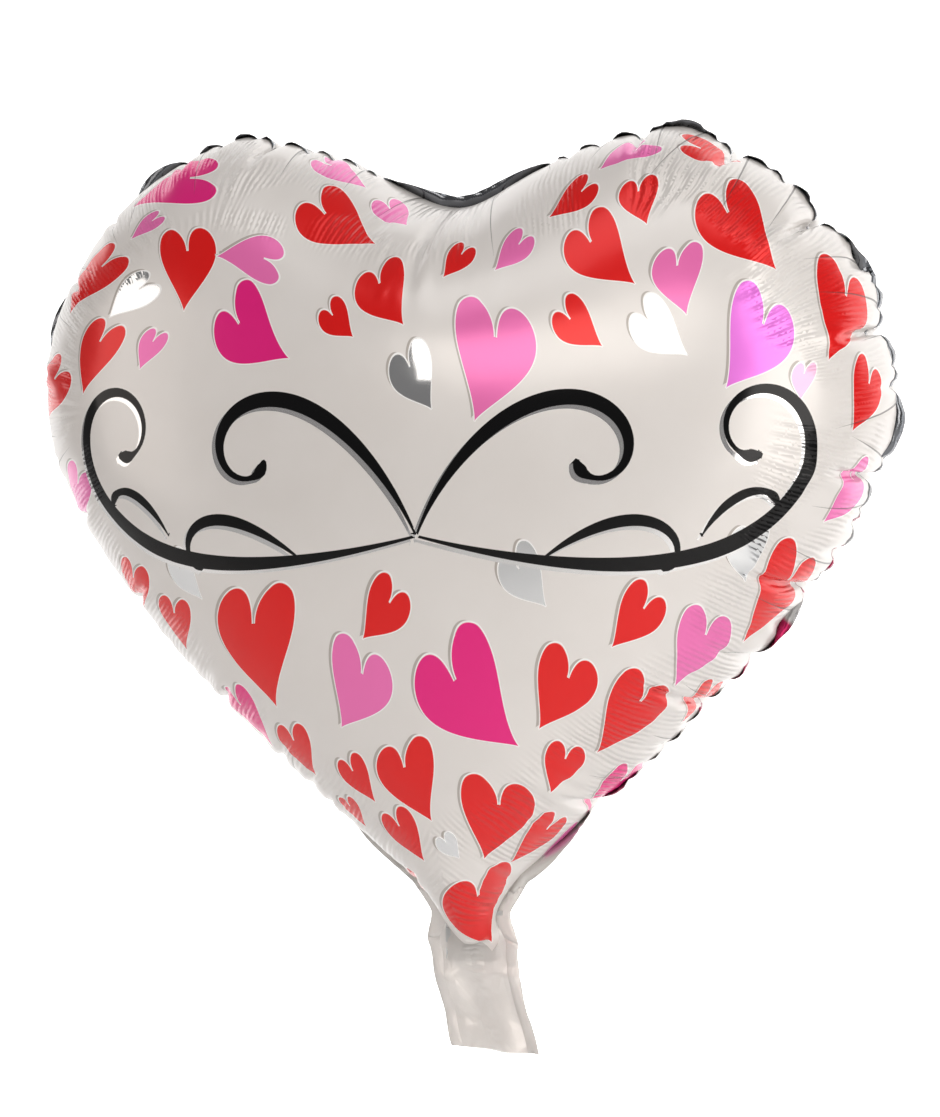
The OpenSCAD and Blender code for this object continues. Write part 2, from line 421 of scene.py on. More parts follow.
# Places and lengths are on the flat cut, in mm.
printLayout = {
    "heartWidth": 0.34,      # half of a heart's width, as a share of its length
    "notch": 0.70,           # height of the notch between its lobes, likewise
    "lobeSkew": 0.25,
    "lobeCentre": 0.52,      # of half of a heart's width, and half of a lobe's width
    "lobeWidth": 0.48,
    "sidePower": 1.25,       # of the sine that the tapered sides follow
    "tipSlope": 3.0,
    "curlReach": 0.9,        # the curl is a half sine over this share of the notch's height
    # tip across and up, length, lean of the tip from straight down, curl, ink
    "hearts": [
        (-144, 342, 46, -80, 0.10, "hotPink"), (-132, 321, 17, -50, 0.05, "pink"),
        (-17, 325, 43, 54, 0.12, "red"), (-34, 366, 30, 60, 0.05, "pink"),
        (-8, 342, 26, 38, 0.05, "pink"), (-94, 287, 38, 16, -0.08, "red"),
        (-165, 288, 40, -48, 0.10, "red"), (-133, 285, 26, -54, 0.05, "bareFoil"),
        (-84, 311, 30, -98, 0.12, "pink"), (-42, 268, 40, 50, 0.14, "hotPink"),
        (-15, 277, 20, 45, 0.05, "red"), (6, 282, 34, 30, 0.08, "red"),
        (20, 304, 20, -22, -0.05, "red"), (-147, 253, 34, -30, 0.08, "red"),
        (-113, 263, 18, -30, 0.05, "pink"), (-190, 242, 36, -50, 0.05, "red"),
        (19, 248, 27, 25, 0.05, "bareFoil"), (36, 243, 48, -6, -0.10, "pink"),
        (42, 306, 22, -32, -0.05, "pink"), (63, 331, 25, -42, -0.08, "red"),
        (99, 296, 37, 33, 0.12, "red"), (86, 271, 24, 42, 0.08, "red"),
        (104, 322, 24, 6, 0.08, "red"), (83, 355, 27, -58, 0.06, "pink"),
        (119, 283, 29, 2, 0.10, "pink"), (119, 267, 27, 42, 0.08, "bareFoil"),
        (156, 303, 45, 28, 0.12, "red"), (147, 363, 30, 72, 0.06, "red"),
        (134, 254, 42, -24, -0.10, "violetPink"), (165, 249, 15, -12, 0.05, "palePink"),
        (178, 265, 46, -15, -0.08, "red"), (192, 236, 30, -22, -0.05, "red"),
        (182, 194, 36, -50, -0.05, "pink"), (-141, 149, 34, -25, 0.08, "red"),
        (-88, 168, 22, 32, 0.05, "bareFoil"), (-113, 136, 31, -15, 0.08, "red"),
        (-60, 120, 56, -4, 0.10, "red"), (-28, 116, 40, -20, -0.10, "pink"),
        (-13, 156, 28, -35, -0.06, "red"), (62, 169, 26, 28, 0.06, "bareFoil"),
        (46, 107, 55, 26, 0.12, "hotPink"), (-77, 89, 36, 14, 0.08, "hotPink"),
        (-52, 82, 30, 6, 0.08, "red"), (-20, 79, 24, 20, 0.08, "red"),
        (5, 73, 39, 8, 0.10, "red"), (-33, 57, 19, 14, 0.05, "red"),
        (-3, 50, 28, 20, 0.06, "red"), (13, 52, 14, 20, 0.04, "bareFoil"),
        (55, 114, 38, -25, -0.08, "red"), (87, 149, 30, -36, -0.06, "red"),
        (114, 122, 40, -22, -0.08, "pink"), (144, 172, 26, -5, 0.05, "bareFoil"),
        (147, 135, 54, -28, -0.10, "red"), (78, 93, 45, -33, -0.08, "red"),
        (121, 84, 32, -32, -0.06, "red"), (56, 78, 27, -22, -0.05, "red"),
        (73, 35, 42, -34, -0.08, "hotPink"), (23, 47, 46, -14, -0.08, "red"),
        (34, 36, 32, -50, -0.06, "red"), (50, 17, 24, -56, -0.05, "pink"),
        (13, -10, 49, -8, 0.03, "red"), (-14, 20, 16, 24, 0.04, "red"),
        (-174, 194, 34, -36, 0.05, "pink"),
    ],
    # each ink's colour, and how much of the foil shines through it
    "inks": {
        "red": ("#EA0C0A", 0.2),
        "hotPink": ("#F01C86", 0.2),
        "pink": ("#F678BE", 0.2),
        "palePink": ("#FAC2E4", 0.15),
        "violetPink": ("#F480EE", 0.2),
        "bareFoil": ("#E4E6E8", 1.0),
    },
    "shift": (-4, 5),        # of all the hearts
    "heartShadow": (-1.4, 1.0),
    "flourishShadow": (-1.6, -1.5),
    "flourishCentre": (8, 219),
    # start across and up, heading in degrees, length, turn per mm at both ends, half width.
    # Each is drawn twice, mirrored. Strokes of one list don't touch each other.
    "stems": [
        (0, -16, -15, 262, 0.12, 5.6, 3.6),
        (0, -16, 68, 150, -0.50, -7.2, 3.2),
    ],
    "sprigs": [
        (48, -27, 38, 76, -0.6, -9.2, 2.4),
        (112, -20, 62, 44, -1.2, -9.6, 2.0),
    ],
    "dropEnd": 0.55,         # a stroke ends in a drop, this share of the stroke wider
    "dropPlace": (4.5, 4),   # the drop's distance from the end, and its length
    "strokeStep": 0.8,       # between two samples of a stroke
    "edgeSlope": 1.5,        # a stroke's half width changes this fast past both ends
    "strokeReach": 9,        # a face further from every stroke than this has none
    "edgeSoftness": 0.2,     # of the ink's edge
}


def linear(hexColour):
    # sRGB hex to the linear values that Blender's sockets take
    parts = [int(hexColour[i:i + 2], 16) / 255 for i in (1, 3, 5)]
    return [c / 12.92 if c <= 0.04045 else ((c + 0.055) / 1.055) ** 2.4 for c in parts]


def heartPlace(points, rows):
    # where points lie in a heart: across its axis and up it, 1 at its widest and at its notch
    p = printLayout
    tip, length, lean, curl = rows[..., :2], rows[..., 2], np.radians(rows[..., 3]), rows[..., 4]
    away = points - tip - p["shift"]
    up = (np.cos(lean) * away[..., 1] - np.sin(lean) * away[..., 0]) / length
    across = (np.cos(lean) * away[..., 0] + np.sin(lean) * away[..., 1]) / length
    across = across + curl * np.sin(p["curlReach"] * np.pi * np.clip(up, 0, 1))
    up = up - p["lobeSkew"] * np.sign(curl) * across
    return across / p["heartWidth"], up / p["notch"]


def heartDepth(across, up):
    # how deep a place lies inside a heart, as a share of its length: the tapered sides are a
    # power of a sine below the notch, and the lobes are ellipses above it
    p = printLayout
    a = np.abs(across)
    sine = np.sin(np.clip(up, 0, 1) * np.pi / 2)
    sides = np.minimum(sine ** p["sidePower"] - a, p["tipSlope"] * up)
    lobeX = (a - p["lobeCentre"]) / p["lobeWidth"]
    lobes = (1 - np.hypot(lobeX, (up - 1) / (1 / p["notch"] - 1))) * p["lobeWidth"]
    return np.where(up < 1, sides, lobes) * p["heartWidth"]


def strokes(group):
    # sampled centre lines of the flourish: place, direction, curvature and half width
    p = printLayout
    rows = []
    for x, z, heading, length, turnStart, turnEnd, half in p[group]:
        run = np.arange(0, length, p["strokeStep"])
        t = run / length
        # the turn per mm grows with the third power of the way along, into a spiral
        turn = np.radians(turnStart + (turnEnd - turnStart) * t ** 3)
        angle = math.radians(heading) + np.cumsum(turn) * p["strokeStep"]
        path = np.cumsum(np.c_[np.cos(angle), np.sin(angle)], axis=0) * p["strokeStep"] + (x, z)
        width = half * (0.15 + 0.85 * np.sin(np.pi * t) ** 1.2)
        dropPlace, dropLength = p["dropPlace"]
        width += half * p["dropEnd"] * np.exp(-((length - dropPlace - run) / dropLength) ** 2)
        slope = np.gradient(width, run)
        slope[[0, -1]] = p["edgeSlope"], -p["edgeSlope"]
        for mirror in (1, -1):
            rows.append(np.c_[
                path * (mirror, 1) + p["flourishCentre"],
                mirror * np.cos(angle), np.sin(angle), mirror * turn, width, slope,
            ])
    return np.vstack(rows)


def strokePlace(corners, rows):
    # each face takes its nearest bit of stroke. Gives its corners' offset from the centre line,
    # straightened by the line's curvature, and the half width there
    centre = corners.mean(1)
    nearest = np.concatenate([
        ((centre[i:i + 4000, None] - rows[None, :, :2]) ** 2).sum(2).argmin(1)
        for i in range(0, len(centre), 4000)
    ])
    row = rows[nearest][:, None]
    away = corners - row[..., :2]
    along = away[..., 0] * row[..., 2] + away[..., 1] * row[..., 3]
    offset = away[..., 1] * row[..., 2] - away[..., 0] * row[..., 3]
    width = row[..., 5] + row[..., 6] * along
    gap = np.linalg.norm(away, axis=2).min(1, keepdims=True)
    width = np.where(gap > printLayout["strokeReach"], -5, width)
    return np.stack([offset - row[..., 4] * along ** 2 / 2, width, 0 * width], 2)


creaseSetup = {
    "gap": (18, 38),         # along the rim between two creases
    "length": (22, 58),
    "cleftLength": 84,
    "cleftWidth": 34,        # half of the stretch of rim that has the long ones
    "neckTop": 45,           # none below this
    "swing": 16,             # degrees off square to the rim
    "halfWidth": 0.55,
    "samples": 40,
    "taper": 0.7,
    # the dark line along the bottom of each crease is painted shade, not a crack in the ink
    "creaseShadeSharpness": 4.0,
    "creaseShadeDarkness": 0.72,
    "creaseShadeColour": "#3A3534",
    "groove": 2.6,           # half width of the groove along a crease
    "seed": 3,
}


def creaseLines(weld, weldRun, weldWay):
    # the sharp creases that run in from the rim's pinches: straight, and tapered to nothing
    c = creaseSetup
    random = np.random.default_rng(c["seed"])
    count = int(weldRun[-1] / c["gap"][0])
    start = np.searchsorted(weldRun, np.cumsum(random.uniform(*c["gap"], count)))
    length = random.uniform(*c["length"], count)
    swing = np.radians(random.uniform(-c["swing"], c["swing"], count))
    keep = start < len(weld) - 1
    keep[keep] = weld[start[keep], 1] > c["neckTop"]
    start, length, swing = start[keep], length[keep], swing[keep]
    length[np.abs(weld[start, 0]) < c["cleftWidth"]] *= c["cleftLength"] / c["length"][1]
    inward = np.arctan2(-weldWay[start, 0], weldWay[start, 1]) + swing
    share = np.linspace(0, 1, c["samples"])
    way = np.stack([np.cos(inward), np.sin(inward)], 1)[:, None]
    path = weld[start][:, None] + way * (length[:, None] * share)[..., None]
    width = c["halfWidth"] * (1 - share) ** c["taper"]
    width[-1] = -1
    straight = np.zeros(path.shape[:2] + (1,))
    return np.concatenate([
        path, way + 0 * path, straight, width[:, None] + straight, straight,
    ], 2).reshape(-1, 7)


def printOn(corners):
    # the print's attributes at the corners of faces, which are places on the flat cut
    p = printLayout
    hearts = np.array([row[:5] for row in p["hearts"]], float)
    centre = corners.mean(1)
    best = np.full(len(corners), -1e9)
    chosen = np.zeros(len(corners), int)
    for number, row in enumerate(hearts):
        depth = heartDepth(*heartPlace(centre, row)) * row[2]
        chosen[depth > best] = number
        best = np.maximum(best, depth)
    rows = hearts[chosen][:, None]
    size = np.broadcast_to(rows[..., 2], corners.shape[:2])
    heart = np.stack([*heartPlace(corners, rows), size], 2)
    shadow = np.stack([*heartPlace(corners - p["heartShadow"], rows), size], 2)
    inks = [p["inks"][row[5]] for row in p["hearts"]]
    colour = np.array([linear(ink[0]) for ink in inks])[chosen]
    foil = np.array([ink[1] for ink in inks])[chosen]
    stems, sprigs = strokes("stems"), strokes("sprigs")
    moved = corners - p["flourishShadow"]
    return {
        "heart": heart,
        "heartShadow": shadow,
        "inkColour": np.repeat(colour[:, None], 3, 1),
        "inkFoil": np.repeat(foil[:, None], 3, 1),
        "stem": strokePlace(corners, stems),
        "sprig": strokePlace(corners, sprigs),
        "stemShadow": strokePlace(moved, stems),
        "sprigShadow": strokePlace(moved, sprigs),
    }


def makePiece(name, shape, faces, attributes, material, normals=None):
    # a mesh of some of the faces, with its corner attributes: vectors, or single values
    used, index = np.unique(faces, return_inverse=True)
    mesh = bpy.data.meshes.new(name)
    mesh.from_pydata((shape[used] * mm).tolist(), [], index.reshape(-1, 3).tolist())
    mesh.polygons.foreach_set("use_smooth", np.ones(len(faces), bool))
    for key, values in attributes.items():
        isVector = values.ndim == 3
        layer = mesh.attributes.new(key, "FLOAT_VECTOR" if isVector else "FLOAT", "CORNER")
        layer.data.foreach_set("vector" if isVector else "value", values.astype(np.float32).ravel())
    if normals is not None:
        mesh.normals_split_custom_set_from_vertices(normals[used].tolist())
    mesh.materials.append(material)
    mesh.update()
    piece = bpy.data.objects.new(name, mesh)
    bpy.context.collection.objects.link(piece)
    return piece


def pointNormals(shape, faces):
    # the area-weighted mean of the faces round each point
    a, b, c = (shape[faces[:, k]] for k in range(3))
    face = np.cross(b - a, c - a)
    normal = np.stack([
        np.bincount(faces.T.ravel(), np.tile(face[:, k], 3), len(shape)) for k in range(3)
    ], 1)
    return normal / np.maximum(np.linalg.norm(normal, axis=1), 1e-12)[:, None]


def addNode(tree, kind, inputs, out=0, **settings):
    # adds a node, sets it up, links or sets its inputs, and gives one of its outputs
    node = tree.nodes.new("ShaderNode" + kind)
    for key, value in settings.items():
        setattr(node, key, value)
    for key, value in inputs.items():
        if isinstance(value, bpy.types.NodeSocket):
            tree.links.new(value, node.inputs[key])
        else:
            node.inputs[key].default_value = value
    return node.outputs[out]


def newMaterial(name):
    material = bpy.data.materials.new(name)
    material.use_nodes = True
    tree = material.node_tree
    tree.nodes.clear()
    return material, tree


def finishMaterial(tree, inputs):
    surface = addNode(tree, "BsdfPrincipled", inputs)
    output = tree.nodes.new("ShaderNodeOutputMaterial")
    tree.links.new(surface, output.inputs["Surface"])


def heartMask(tree, attribute, growth):
    # 1 inside the heart that the attribute places, drawn larger by each growth in mm
    p = printLayout
    place = addNode(tree, "Attribute", {}, out=1, attribute_name=attribute)
    split = tree.nodes.new("ShaderNodeSeparateXYZ")
    tree.links.new(place, split.inputs[0])
    across, up, size = split.outputs
    a = addNode(tree, "Math", {0: across}, operation="ABSOLUTE")
    quarter = addNode(tree, "Math", {0: up, 1: 1.0}, operation="MULTIPLY", use_clamp=True)
    quarter = addNode(tree, "Math", {0: quarter, 1: math.pi / 2}, operation="MULTIPLY")
    sine = addNode(tree, "Math", {0: quarter}, operation="SINE")
    sides = addNode(tree, "Math", {0: sine, 1: p["sidePower"]}, operation="POWER")
    sides = addNode(tree, "Math", {0: sides, 1: a}, operation="SUBTRACT")
    below = addNode(tree, "Math", {0: up, 1: p["tipSlope"]}, operation="MULTIPLY")
    sides = addNode(tree, "Math", {0: sides, 1: below}, operation="MINIMUM")
    lobeRise, lobe = 1 / p["notch"] - 1, p["lobeWidth"]
    lobeX = addNode(tree, "Math", {0: a, 1: 1 / lobe, 2: -p["lobeCentre"] / lobe},
                    operation="MULTIPLY_ADD")
    lobeZ = addNode(tree, "Math", {0: up, 1: 1 / lobeRise, 2: -1 / lobeRise},
                    operation="MULTIPLY_ADD")
    inLobe = addNode(tree, "CombineXYZ", {0: lobeX, 1: lobeZ})
    radius = addNode(tree, "VectorMath", {0: inLobe}, out=1, operation="LENGTH")
    lobes = addNode(tree, "Math", {0: radius, 1: -lobe, 2: lobe}, operation="MULTIPLY_ADD")
    above = addNode(tree, "Math", {0: up, 1: 1.0}, operation="GREATER_THAN")
    depth = addNode(tree, "Mix", {0: above, 2: sides, 3: lobes})
    depth = addNode(tree, "Math", {0: depth, 1: size}, operation="MULTIPLY")
    depth = addNode(tree, "Math", {0: depth, 1: p["heartWidth"]}, operation="MULTIPLY")
    sharp = 1 / p["edgeSoftness"]
    return [
        addNode(tree, "Math", {0: depth, 1: sharp, 2: sharp * g + 0.5}, operation="MULTIPLY_ADD",
                use_clamp=True)
        for g in growth
    ]


def strokeMask(tree, attributes):
    # 1 where any of the attributes' strokes is printed
    mask = None
    for attribute in attributes:
        place = addNode(tree, "Attribute", {}, out=1, attribute_name=attribute)
        split = tree.nodes.new("ShaderNodeSeparateXYZ")
        tree.links.new(place, split.inputs[0])
        offset, width = split.outputs[:2]
        offset = addNode(tree, "Math", {0: offset}, operation="ABSOLUTE")
        depth = addNode(tree, "Math", {0: width, 1: offset}, operation="SUBTRACT")
        one = addNode(tree, "Math", {0: depth, 1: 1 / printLayout["edgeSoftness"], 2: 0.5},
                      operation="MULTIPLY_ADD", use_clamp=True)
        mask = one if mask is None else addNode(tree, "Math", {0: mask, 1: one},
                                                operation="MAXIMUM")
    return mask


filmLook = {
    "pearl": "#EDEAE8",      # warm white ink, with a little of the foil under it
    "pearlDark": "#E6E2DF",
    "patchLength": 30,       # the two whites take turns in patches of about this many mm
    "pearlFoil": 0.12,
    "pearlRoughness": 0.30,
    "heartEdge": "#FFFFFF",
    "heartShadow": "#B7B0AB",
    "flourish": "#0B0B0D",
    "flourishShadow": "#EDEDEE",
    "inkRoughness": 0.24,
    "foilRoughness": 0.07,
    "silverFoil": 0.9,       # how much of the foil the flourish's silver and black let through
    "blackFoil": 0.55,
    "blackRoughness": 0.12,
    "bareFrom": 0.8,         # above this share of foil the surface is bare foil
    "coat": 0.12,
    "bareCoat": 0.05,
    "heartOutline": 0.45,    # mm of white round each heart
    "bareTail": "#E7E2DE",
    "bareTailFoil": 0.25,
    "bareTailRoughness": 0.36,
    "tailAlpha": 0.7,
    "printEnd": -9,          # the print ends in a point on the neck, here on the cut
    "printEndAcross": 8.5,
    "printEndSlope": 1.15,
    "printEndTop": 14,       # everything above this is printed
    "ripplePitch": 2.8,      # mm between the fine ripples that run in from the rim
    "rippleFrom": 7,
    "rippleTo": 78,
    "rippleFade": (9, 22),   # they fade over these distances, at the rim and further in
    "bumpDistance": 0.0004,
    "bumpStrength": 0.55,
}


def makeFilm():
    # metallised nylon film, gravure printed. White ink hides the foil and looks like satin,
    # the coloured inks are thin, so the foil makes them shine, and bare foil is a mirror
    f, c = filmLook, creaseSetup
    material, tree = newMaterial("printedMetallisedFilm")

    def mixed(share, a, b):
        return addNode(tree, "Mix", {0: share, 6: a, 7: b}, out=2, data_type="RGBA")

    def mixedValue(share, a, b):
        return addNode(tree, "Mix", {0: share, 2: a, 3: b})

    cut = addNode(tree, "Attribute", {}, out=1, attribute_name="onCut")
    split = tree.nodes.new("ShaderNodeSeparateXYZ")
    tree.links.new(cut, split.inputs[0])
    acrossCut, upCut = split.outputs[:2]
    rimPlace = addNode(tree, "Attribute", {}, out=1, attribute_name="fromRim")
    splitRim = tree.nodes.new("ShaderNodeSeparateXYZ")
    tree.links.new(rimPlace, splitRim.inputs[0])
    run, depth = splitRim.outputs[:2]

    ink = addNode(tree, "Attribute", {}, out=1, attribute_name="inkColour")
    inkFoil = addNode(tree, "Attribute", {}, out=2, attribute_name="inkFoil")
    heart, edge = heartMask(tree, "heart", (0, f["heartOutline"]))
    shadow, = heartMask(tree, "heartShadow", (0,))
    flourish = strokeMask(tree, ("stem", "sprig"))
    silver = strokeMask(tree, ("stemShadow", "sprigShadow"))

    # the white ink is a little uneven, as printed film is
    patches = addNode(tree, "TexNoise", {"Vector": cut, "Scale": 1 / f["patchLength"],
                                         "Detail": 2.0})
    pearl = mixed(patches, (*linear(f["pearlDark"]), 1), (*linear(f["pearl"]), 1))
    colour = mixed(shadow, pearl, (*linear(f["heartShadow"]), 1))
    colour = mixed(edge, colour, (*linear(f["heartEdge"]), 1))
    colour = mixed(heart, colour, ink)
    colour = mixed(silver, colour, (*linear(f["flourishShadow"]), 1))
    colour = mixed(flourish, colour, (*linear(f["flourish"]), 1))
    foil = mixedValue(heart, f["pearlFoil"], inkFoil)
    foil = mixedValue(silver, foil, f["silverFoil"])
    foil = mixedValue(flourish, foil, f["blackFoil"])
    rough = mixedValue(heart, f["pearlRoughness"], f["inkRoughness"])
    bare = addNode(tree, "Math", {0: foil, 1: f["bareFrom"]}, operation="GREATER_THAN")
    rough = mixedValue(bare, rough, f["foilRoughness"])
    rough = mixedValue(flourish, rough, f["blackRoughness"])

    # a crease is a narrow groove, with painted shade along its bottom that stands in for the fold's
    # self-shadow
    place = addNode(tree, "Attribute", {}, out=1, attribute_name="crease")
    splitCrease = tree.nodes.new("ShaderNodeSeparateXYZ")
    tree.links.new(place, splitCrease.inputs[0])
    offset = addNode(tree, "Math", {0: splitCrease.outputs[0]}, operation="ABSOLUTE")
    creaseShade = addNode(tree, "Math", {0: splitCrease.outputs[1], 1: offset}, operation="SUBTRACT")
    creaseShade = addNode(tree, "Math", {0: creaseShade, 1: c["creaseShadeSharpness"], 2: 0.3},
                    operation="MULTIPLY_ADD", use_clamp=True)
    creaseShade = addNode(tree, "Math", {0: creaseShade, 1: c["creaseShadeDarkness"]}, operation="MULTIPLY")
    creased = addNode(tree, "Math", {0: splitCrease.outputs[1],
                                     1: c["groove"] / c["halfWidth"]},
                      operation="MULTIPLY")
    creased = addNode(tree, "Math", {0: creased, 1: offset}, operation="SUBTRACT")
    creased = addNode(tree, "Math", {0: creased, 1: 0.0}, operation="MAXIMUM")
    # painted shade: the bottom of each crease is darkened towards a dark grey-brown
    colour = mixed(creaseShade, colour, (*linear(c["creaseShadeColour"]), 1))

    # no print below a V across the top of the neck, where the film is only thinly metallised
    sideways = addNode(tree, "Math", {0: acrossCut, 1: f["printEndAcross"]}, operation="SUBTRACT")
    sideways = addNode(tree, "Math", {0: sideways}, operation="ABSOLUTE")
    border = addNode(tree, "Math", {0: sideways, 1: f["printEndSlope"], 2: f["printEnd"]},
                     operation="MULTIPLY_ADD")
    border = addNode(tree, "Math", {0: border, 1: f["printEndTop"]}, operation="MINIMUM")
    printed = addNode(tree, "Math", {0: upCut, 1: border}, operation="SUBTRACT")
    printed = addNode(tree, "Math", {0: printed, 1: 4.0, 2: 0.5}, operation="MULTIPLY_ADD",
                      use_clamp=True)
    colour = mixed(printed, (*linear(f["bareTail"]), 1), colour)
    foil = mixedValue(printed, f["bareTailFoil"], foil)
    rough = mixedValue(printed, f["bareTailRoughness"], rough)
    coat = mixedValue(printed, f["bareCoat"], f["coat"])
    alpha = mixedValue(printed, f["tailAlpha"], 1.0)

    # fine ripples, at right angles to the rim and in patches, wavy and no two alike
    wander = addNode(tree, "TexNoise", {"Vector": cut, "Scale": 1 / 35, "Detail": 1.0})
    phase = addNode(tree, "Math", {0: wander, 1: 8.0, 2: run}, operation="MULTIPLY_ADD")
    phase = addNode(tree, "Math", {0: phase, 1: 2 * math.pi / f["ripplePitch"]},
                    operation="MULTIPLY")
    wave = addNode(tree, "Math", {0: phase}, operation="SINE")
    fadeIn, fadeOut = f["rippleFade"]
    inside = addNode(tree, "MapRange", {0: depth, 1: f["rippleFrom"], 2: f["rippleFrom"] + fadeIn,
                                        3: 0.0, 4: 1.0}, interpolation_type="SMOOTHSTEP")
    outside = addNode(tree, "MapRange", {0: depth, 1: f["rippleTo"] - fadeOut, 2: f["rippleTo"],
                                         3: 1.0, 4: 0.0}, interpolation_type="SMOOTHSTEP")
    patch = addNode(tree, "TexNoise", {"Vector": cut, "Scale": 1 / 24, "Detail": 0.0})
    patch = addNode(tree, "MapRange", {0: patch, 1: 0.36, 2: 0.56, 3: 0.0, 4: 1.0},
                    interpolation_type="SMOOTHSTEP")
    amount = addNode(tree, "Math", {0: inside, 1: outside}, operation="MULTIPLY")
    amount = addNode(tree, "Math", {0: amount, 1: patch}, operation="MULTIPLY")
    ripples = addNode(tree, "Math", {0: wave, 1: amount}, operation="MULTIPLY")
    # the film's own slight waviness, about 18 mm long
    slack = addNode(tree, "TexNoise", {"Vector": cut, "Scale": 1 / 18, "Detail": 1.0})
    height = addNode(tree, "Math", {0: slack, 1: 0.8, 2: ripples}, operation="MULTIPLY_ADD")
    height = addNode(tree, "Math", {0: creased, 1: -1.1, 2: height}, operation="MULTIPLY_ADD")
    # the bare tail is crinkled into facets of about 8 mm, with sharp edges
    wavy = addNode(tree, "VectorMath", {0: cut, 1: (1.0, 0.6, 0)}, operation="MULTIPLY")
    facets = addNode(tree, "TexVoronoi", {"Vector": wavy, "Scale": 1 / 8},
                     feature="DISTANCE_TO_EDGE")
    bare = addNode(tree, "Math", {0: 1.0, 1: printed}, operation="SUBTRACT")
    facets = addNode(tree, "Math", {0: facets, 1: bare}, operation="MULTIPLY")
    height = addNode(tree, "Math", {0: facets, 1: 5.0, 2: height}, operation="MULTIPLY_ADD")
    bump = addNode(tree, "Bump", {"Height": height, "Strength": f["bumpStrength"],
                                 "Distance": f["bumpDistance"]})
    finishMaterial(tree, {
        "Base Color": colour, "Metallic": foil, "Roughness": rough, "Alpha": alpha,
        "Normal": bump, "Coat Weight": coat, "Coat Roughness": 0.1,
    })
    return material


rimLook = {
    "foil": "#7C7F84",
    "dullFoil": "#DAD7D4",
    "dullBetween": (40.0, 230.0),    # dull below the first height on the cut, bright above
    "metallic": (1.0, 0.35),         # bright and dull
    "roughness": (0.1, 0.35),
    "strayInk": "#A00C4A",
    "ribPitch": 0.9,
    "linePitch": 1.2,
}


def makeRimFoil():
    # bare metallised film, heat-sealed between ribbed jaws: a mirror with fine cross ribs.
    # A little of the pink and red print of the back film ran over it, low on the right
    r = rimLook
    material, tree = newMaterial("heatSealedFoil")
    rimPlace = addNode(tree, "Attribute", {}, out=1, attribute_name="fromRim")
    split = tree.nodes.new("ShaderNodeSeparateXYZ")
    tree.links.new(rimPlace, split.inputs[0])
    run, depth = split.outputs[:2]
    stray = addNode(tree, "Attribute", {}, out=2, attribute_name="strayInk")
    # towards the neck the foil turns paler, less metallic and rougher, by height on the cut
    cut = addNode(tree, "Attribute", {}, out=1, attribute_name="onCut")
    splitCut = tree.nodes.new("ShaderNodeSeparateXYZ")
    tree.links.new(cut, splitCut.inputs[0])
    low, high = r["dullBetween"]
    dull = addNode(tree, "MapRange", {0: splitCut.outputs[1], 1: low, 2: high, 3: 1.0, 4: 0.0})
    colour = addNode(tree, "Mix", {0: dull, 6: (*linear(r["foil"]), 1),
                                   7: (*linear(r["dullFoil"]), 1)}, out=2, data_type="RGBA")
    colour = addNode(tree, "Mix", {0: stray, 6: colour,
                                   7: (*linear(r["strayInk"]), 1)}, out=2, data_type="RGBA")
    metal = addNode(tree, "MapRange", {0: dull, 3: r["metallic"][0], 4: r["metallic"][1]})
    rough = addNode(tree, "MapRange", {0: dull, 3: r["roughness"][0], 4: r["roughness"][1]})
    ribs = addNode(tree, "Math", {0: run, 1: 2 * math.pi / r["ribPitch"]}, operation="MULTIPLY")
    ribs = addNode(tree, "Math", {0: ribs}, operation="SINE")
    lines = addNode(tree, "Math", {0: depth, 1: 2 * math.pi / r["linePitch"]},
                    operation="MULTIPLY")
    lines = addNode(tree, "Math", {0: lines}, operation="SINE")
    height = addNode(tree, "Math", {0: ribs, 1: lines}, operation="MULTIPLY")
    bump = addNode(tree, "Bump", {"Height": height, "Strength": 0.12, "Distance": 0.0001})
    finishMaterial(tree, {
        "Base Color": colour, "Metallic": metal, "Roughness": rough, "Normal": bump,
    })
    return material


def makeValveFilm():
    # blown polyethylene film, 0.05 mm thick, clear and slightly hazy, with fine die lines
    material, tree = newMaterial("clearPolyethyleneFilm")
    place = addNode(tree, "TexCoord", {}, out=3)
    lines = addNode(tree, "Mapping", {"Vector": place, "Scale": (1 / 0.0015, 1, 1 / 0.03)})
    lines = addNode(tree, "TexNoise", {"Vector": lines, "Scale": 1.0, "Detail": 1.0})
    bump = addNode(tree, "Bump", {"Height": lines, "Strength": 0.2, "Distance": 0.0001})
    haze = addNode(tree, "MapRange", {0: lines, 3: 0.16, 4: 0.3})
    finishMaterial(tree, {
        "Base Color": (*linear("#E8EEF2"), 1), "Roughness": haze, "Alpha": 0.35,
        "IOR": 1.51, "Normal": bump,
    })
    return material


def makeBond():
    # the weld between polyethylene and the metallised film: milky, with a fine grid from the jaw
    material, tree = newMaterial("milkyHeatBond")
    place = addNode(tree, "TexCoord", {}, out=3)
    grid = addNode(tree, "TexVoronoi", {"Vector": place, "Scale": 1 / 0.0012})
    bump = addNode(tree, "Bump", {"Height": grid, "Strength": 0.3, "Distance": 0.0001})
    finishMaterial(tree, {
        "Base Color": (*linear("#D9DCDD"), 1), "Roughness": 0.4, "Alpha": 0.7, "Normal": bump,
    })
    return material


cut, shape = inflate()
shape = shapeTail(cut, shape)
report("tail shaped")

